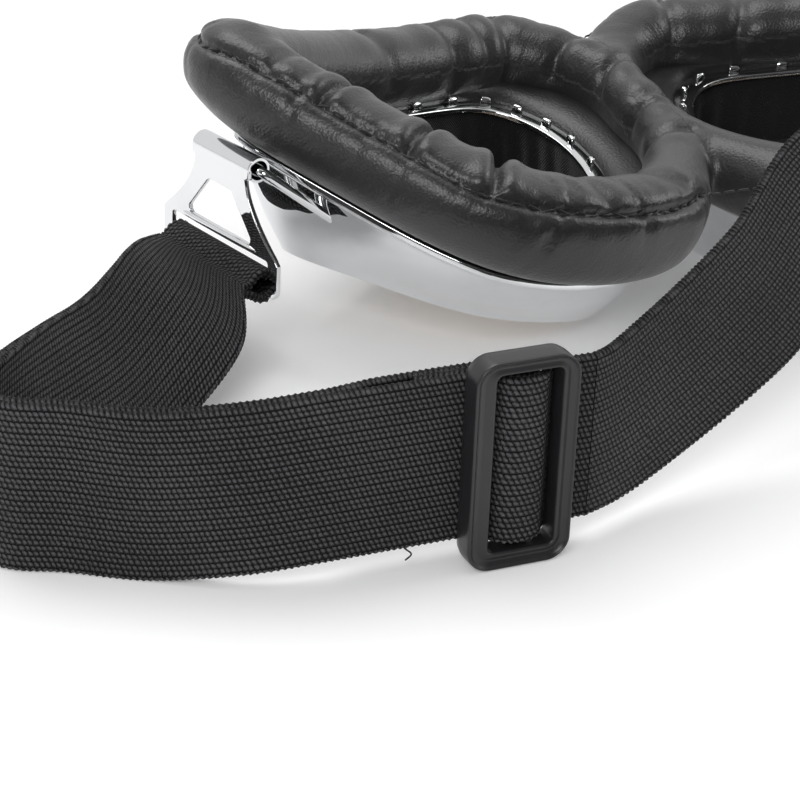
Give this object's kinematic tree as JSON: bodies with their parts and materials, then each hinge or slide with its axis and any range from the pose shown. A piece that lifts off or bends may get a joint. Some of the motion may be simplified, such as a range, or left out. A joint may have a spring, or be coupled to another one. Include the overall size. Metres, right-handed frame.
{
  "type": "steampunk goggles",
  "caption": "Goggles with chrome cups on a nose hinge, tinted lenses, a stuffed leather face pad and an adjustable elastic strap on hinged bails.",
  "frame": {"origin": "on the surface the goggles lie on, in the middle plane between the two cups, under the nose", "axes": "+X towards the right cup's temple, +Y towards the forehead, +Z away from the lenses, towards the face"},
  "size_m": [0.2371, 0.1318, 0.0546],
  "materials": {
    "chrome": "polished chrome plate",
    "ring_steel": "bright pressed steel",
    "gasket_rubber": "matt black rubber",
    "smoke_lens": "smoke-brown tint, polished",
    "backing": "black leathercloth",
    "lining": "black cloth lining",
    "leather": "soft black leather, fine grain, satin",
    "elastic": "black ribbed woven elastic",
    "thread": "black sewing thread",
    "slider_plastic": "black moulded plastic, satin"
  },
  "bodies": {
    "left_cup": {"left_frame": "chrome", "left_lens_gasket": "gasket_rubber", "left_lens": "smoke_lens", "left_retaining_ring": "ring_steel", "left_pad_base": "backing", "left_eye_lining": "lining", "left_clamp_ring": "ring_steel", "left_pad": "leather", "left_hinge_staple": "chrome", "left_bridge_bracket": "chrome", "left_bracket_rivets": "chrome", "bridge_pin": "chrome", "nose_pad": "leather", "strap_left_lead": "elastic", "strap_bend": "elastic", "strap_run_left": "elastic", "strap_run_right": "elastic", "strap_rise": "elastic"},
    "right_cup": {"right_frame": "chrome", "right_lens_gasket": "gasket_rubber", "right_lens": "smoke_lens", "right_retaining_ring": "ring_steel", "right_pad_base": "backing", "right_eye_lining": "lining", "right_clamp_ring": "ring_steel", "right_pad": "leather", "right_hinge_staple": "chrome", "right_bridge_bracket": "chrome", "right_bracket_rivets": "chrome", "strap_right_lead": "elastic"},
    "left_bail": {"left_bail": "chrome", "left_strap_loop": "elastic"},
    "right_bail": {"right_bail": "chrome", "right_strap_loop": "elastic", "right_loop_stitches": "thread"},
    "slider": {"slider": "slider_plastic", "strap_weave": "elastic", "strap_tail": "elastic", "tail_stitches": "thread"}
  },
  "joints": [
    {"name": "nose_hinge", "type": "hinge", "parent": "left_cup", "child": "right_cup", "pos_m": [0, 0.007, 0.0145], "axis": [0, 1, 0], "range_deg": [-12, 10], "deforming": ["nose_pad", "strap_rise"]},
    {"name": "left_bail_hinge", "type": "hinge", "parent": "left_cup", "child": "left_bail", "pos_m": [-0.0823, -0.003, 0.0325], "axis": [-0.2419, 0.9703, 0], "range_deg": [-20, 80], "deforming": ["strap_left_lead"]},
    {"name": "right_bail_hinge", "type": "hinge", "parent": "right_cup", "child": "right_bail", "pos_m": [0.0823, -0.003, 0.0325], "axis": [-0.2419, -0.9703, 0], "range_deg": [-20, 80], "deforming": ["strap_right_lead"]},
    {"name": "slider_slide", "type": "slide", "parent": "left_cup", "child": "slider", "axis": [1, 0, 0], "range_m": [-0.0117, 0.004], "deforming": ["strap_run_left", "strap_run_right"]}
  ]
}
